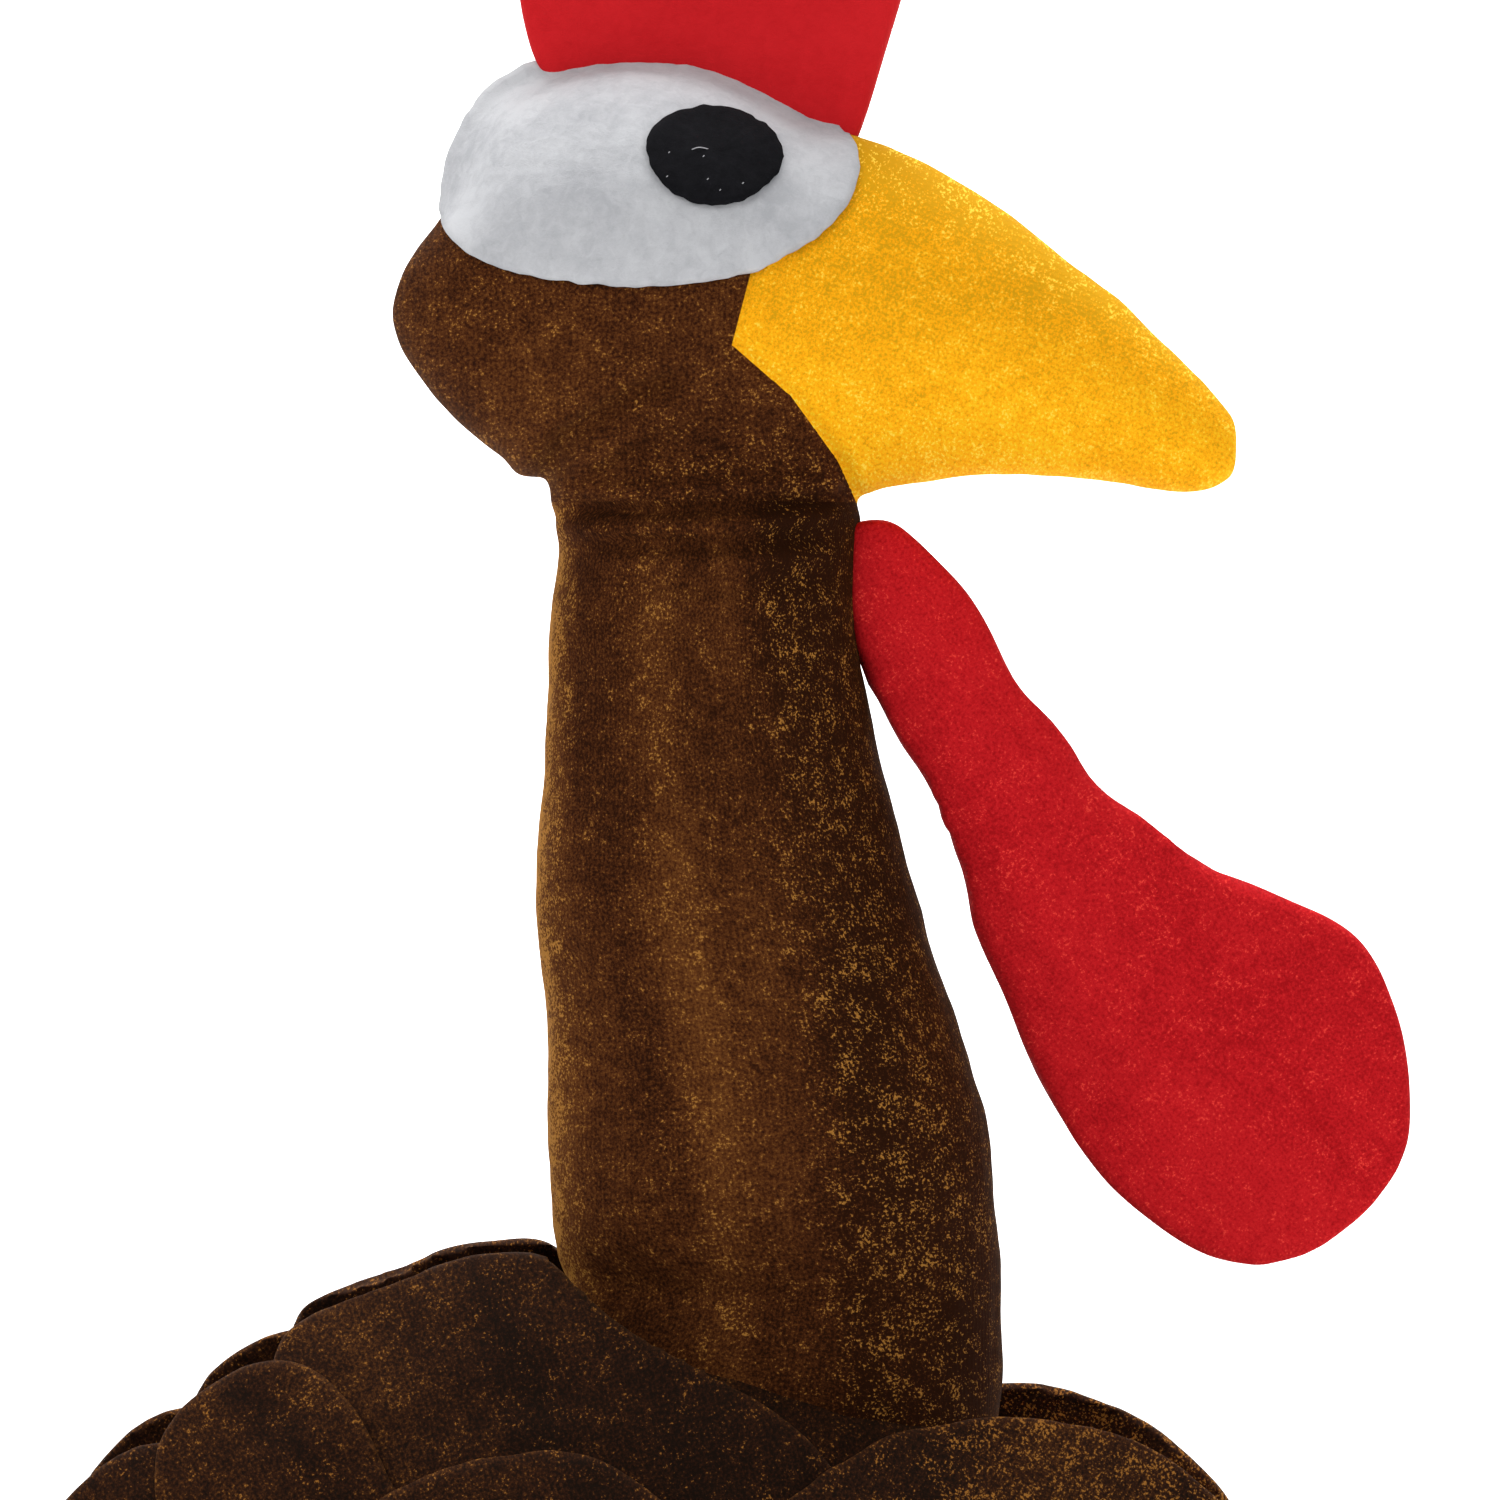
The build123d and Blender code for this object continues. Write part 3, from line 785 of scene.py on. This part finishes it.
def make_body():
    """The body's velour skin: an egg with a flat foot, pressed in round the neck."""
    low = Vector(map(min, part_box("body_cover_left")[0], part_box("body_cover_right")[0]))
    high = Vector(map(max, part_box("body_cover_left")[1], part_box("body_cover_right")[1]))
    cad = points(NODES["body_cover_left"])
    middle = Vector(((low.x + high.x) / 2, 0, cad[cad[:, 1].argmax(), 2]))
    radii = Vector(((high.x - low.x) / 2, high.y, high.z - middle.z + 0.6 * MM))
    columns, rows = 260, 170
    vertices, faces = [(middle.x, 0, middle.z + radii.z)], []
    for r in range(1, rows):
        polar = pi * r / rows
        for c in range(columns):
            turn = 2 * pi * c / columns
            z = middle.z + radii.z * cos(polar)
            vertices.append((middle.x + radii.x * sin(polar) * cos(turn),
                             radii.y * sin(polar) * sin(turn), max(z, 0.6 * MM)))
    vertices.append((middle.x, 0, 0.6 * MM))
    last = len(vertices) - 1
    for c in range(columns):
        following = (c + 1) % columns
        faces.append((0, 1 + c, 1 + following))
        for r in range(rows - 2):
            a, b = 1 + r * columns, 1 + (r + 1) * columns
            faces.append((a + c, b + c, b + following, a + following))
        bottom = 1 + (rows - 2) * columns
        faces.append((bottom + c, last, bottom + following))
    skin = from_lists("body_skin", vertices, faces)
    press_neck_in(skin)
    roughen(skin, 22 * MM, 1.2 * MM, 8)
    roughen(skin, 7 * MM, 0.35 * MM, 9)
    co = points(skin)
    co[:, 2] = np.maximum(co[:, 2], 0.4 * MM)
    set_points(skin, co)
    weave_flat(skin, 90, 0.1, -0.3)
    skin.data.shade_smooth()
    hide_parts("body_cover_left", "body_cover_right", "body_stuffing")
    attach(dress(skin, SHADED_PILE_BROWN), "body")

    panel = subdivide(relax(remesh(copy_nodes("base_cloth_panel", "base_panel"), 1.2 * MM), 1), 1)
    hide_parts("base_panel")
    co = points(panel)
    co[:, 2] = np.clip(co[:, 2], 0.02 * MM, None)
    set_points(panel, co)
    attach(dress(panel, BASE_CLOTH), "body")
    low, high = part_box("base_panel")

    bag = stuffed("pellet_bag", "ballast_bag", voxel=2.5 * MM)
    subdivide(bag)
    roughen(bag, 5 * MM, 0.5 * MM, 4)
    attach(dress(bag, BAG_CLOTH), "body")
    for name, _ in SIDES:
        node = name + "_wing_panel"
        lining = subdivide(relax(remesh(copy_nodes(node + "_skin", node), 1.2 * MM), 2))
        roughen(lining, 18 * MM, 0.5 * MM, 5)
        weave_flat(lining, 100)
        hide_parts(node)
        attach(dress(lining, SHADED_PILE_BROWN), name + "_wing")


NECK_VALLEY = 2.5 * MM              # how deep the neck's seam sinks into the body


def press_neck_in(skin):
    """A soft valley in the body round the foot of the neck."""
    x, _, z = JOINTS["neck_lean"]["pos_m"]
    co = points(skin)
    reach = np.hypot((co[:, 0] - x) / 1.06, co[:, 1] * 1.06)
    top = co[:, 2] > z - 50 * MM
    dip = np.exp(-((reach - 33 * MM) / (13 * MM)) ** 2) * NECK_VALLEY * top
    inside = (reach < 33 * MM) & top
    dip[inside] = NECK_VALLEY
    co[:, 2] -= dip
    set_points(skin, co)


def make_hard_parts():
    """New surfaces for the CAD parts that stay as they are."""
    for node, material in (("neck_wire", steel("wire_steel")),
                           ("base_board", hardboard("board")), ("stake_socket", SOCKET)):
        obj = NODES[node]
        obj.data.materials.clear()
        obj.data.materials.append(material)


STITCH_DOTS = [(10.6, 335.8), (11.3, 332.0), (4.7, 332.4), (5.0, 336.4), (17.0, 331.4),
               (13.3, 330.2)]       # where short stitches show, in the side view


def make_stitches():
    """The clear thread that tacks the pupils on: an arc and a few short stitches on each."""
    for name, side in SIDES:
        under = bpy.data.objects["pupil_felt_" + name]
        cast = BVHTree.FromObject(under, bpy.context.evaluated_depsgraph_get())
        lines = [[(8.2, 336.6), (9.2, 337.3), (10.6, 337.3), (11.9, 336.9)]]
        lines += [[(x - 0.3, z - 0.2), (x, z), (x + 0.25, z + 0.3)] for x, z in STITCH_DOTS]
        for number, line in enumerate(lines):
            curve = bpy.data.curves.new("thread", "CURVE")
            curve.dimensions = "3D"
            curve.bevel_depth = 0.09 * MM
            curve.bevel_resolution = 3
            spline = curve.splines.new("NURBS")
            spline.points.add(len(line) - 1)
            for i, (x, z) in enumerate(line):
                spot = Vector((x * MM, side * 0.2, z * MM))
                hit = cast.ray_cast(spot, Vector((0, -side, 0)))[0]
                lift = 0.35 * MM if 0 < i < len(line) - 1 else -0.4 * MM
                spline.points[i].co = (spot.x, hit.y + side * lift, spot.z, 1)
            spline.order_u = 3
            spline.use_endpoint_u = True
            shape = add_object("thread_curve", curve)
            graph = bpy.context.evaluated_depsgraph_get()
            mesh = bpy.data.meshes.new_from_object(shape.evaluated_get(graph))
            bpy.data.objects.remove(shape)
            thread = add_object(f"pupil_thread_{name}_{number + 1}", mesh)
            mesh.shade_smooth()
            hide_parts("pupil_stitches")
            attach(dress(thread, NYLON), "head")


# ---- studio ---------------------------------------------------------------------------------
VIEW_SIZE = 247.5 * MM              # side of the square that the camera sees at the bird
VIEW_MIDDLE = Vector((18.15 * MM, 0, 239.25 * MM))
CAMERA_RISE = 0.1                   # degrees above the horizon
LENS = 300.0                        # long, so that the far wing hides behind the near one
SKY_LIGHT = 0.45
PAPER_DARK, PAPER_PALE = (0.92, 0.92, 0.92, 1), (0.95, 0.95, 0.95, 1)


def make_camera():
    camera = bpy.data.cameras.new("camera")
    camera.lens = LENS
    camera.clip_start, camera.clip_end = 0.01, 50
    distance = VIEW_SIZE * LENS / camera.sensor_width
    direction = Vector((0, -cos(radians(CAMERA_RISE)), sin(radians(CAMERA_RISE))))
    obj = add_object("camera", camera)
    obj.location = VIEW_MIDDLE + direction * distance
    obj.rotation_euler = (-direction).to_track_quat("-Z", "Y").to_euler()
    bpy.context.scene.camera = obj


def make_light(name, place, size, power, target=VIEW_MIDDLE):
    """A square soft light of that side in metres and power in watts, aimed at the target."""
    light = bpy.data.lights.new(name, "AREA")
    light.size = size
    light.energy = power
    obj = add_object(name, light)
    obj.location = place
    obj.rotation_euler = (target - obj.location).to_track_quat("-Z", "Y").to_euler()


def make_studio():
    """A pale floor that curves up into a wall, with soft lights on the bird and on the wall."""
    reach, back, rise, rounding = 7.0, 6.0, 5.0, 1.2
    profile = [(-reach, 0.0), (back - rounding, 0.0)]
    for step in range(1, 13):
        turn = pi / 2 * step / 12
        profile.append((back - rounding + rounding * sin(turn), rounding * (1 - cos(turn))))
    profile.append((back, rise))
    vertices = [(x, y, z) for y, z in profile for x in (-reach, reach)]
    faces = [(2 * i, 2 * i + 1, 2 * i + 3, 2 * i + 2) for i in range(len(profile) - 1)]
    sweep = from_lists("studio_sweep", vertices, faces)
    sweep.data.shade_smooth()
    paper = Material("studio_paper")
    tooth = paper.noise(paper.object_place(), 300, 3)
    shade = paper.ramp(tooth, [(0.2, PAPER_DARK), (0.8, PAPER_PALE)])
    sweep.data.materials.append(paper.set(Base_Color=shade, Roughness=0.9))
    world = bpy.data.worlds.new("studio")
    bpy.context.scene.world = world
    world.use_nodes = True
    world.node_tree.nodes["Background"].inputs["Color"].default_value = (1, 1, 1, 1)
    world.node_tree.nodes["Background"].inputs["Strength"].default_value = SKY_LIGHT
    make_light("key", (-0.9, -1.3, 1.0), 0.9, 10)
    make_light("fill", (1.3, -1.1, 0.5), 1.2, 4.5)
    make_light("top", (0.1, 0.1, 1.7), 1.0, 3)
    make_light("backdrop_light", (0, 1.0, 2.2), 2.0, 120, Vector((0, 2.4, 0.3)))
    make_light("wall_light", (0, 4.0, 2.5), 2.0, 150, Vector((0, 6.0, 1.0)))
    bpy.context.scene.view_settings.view_transform = "Standard"


make_camera()
make_studio()
whole_skin = make_neck_and_head()
make_body()
make_eyes(whole_skin)
bpy.data.objects.remove(whole_skin)
make_stitches()
make_pads()
make_hard_parts()
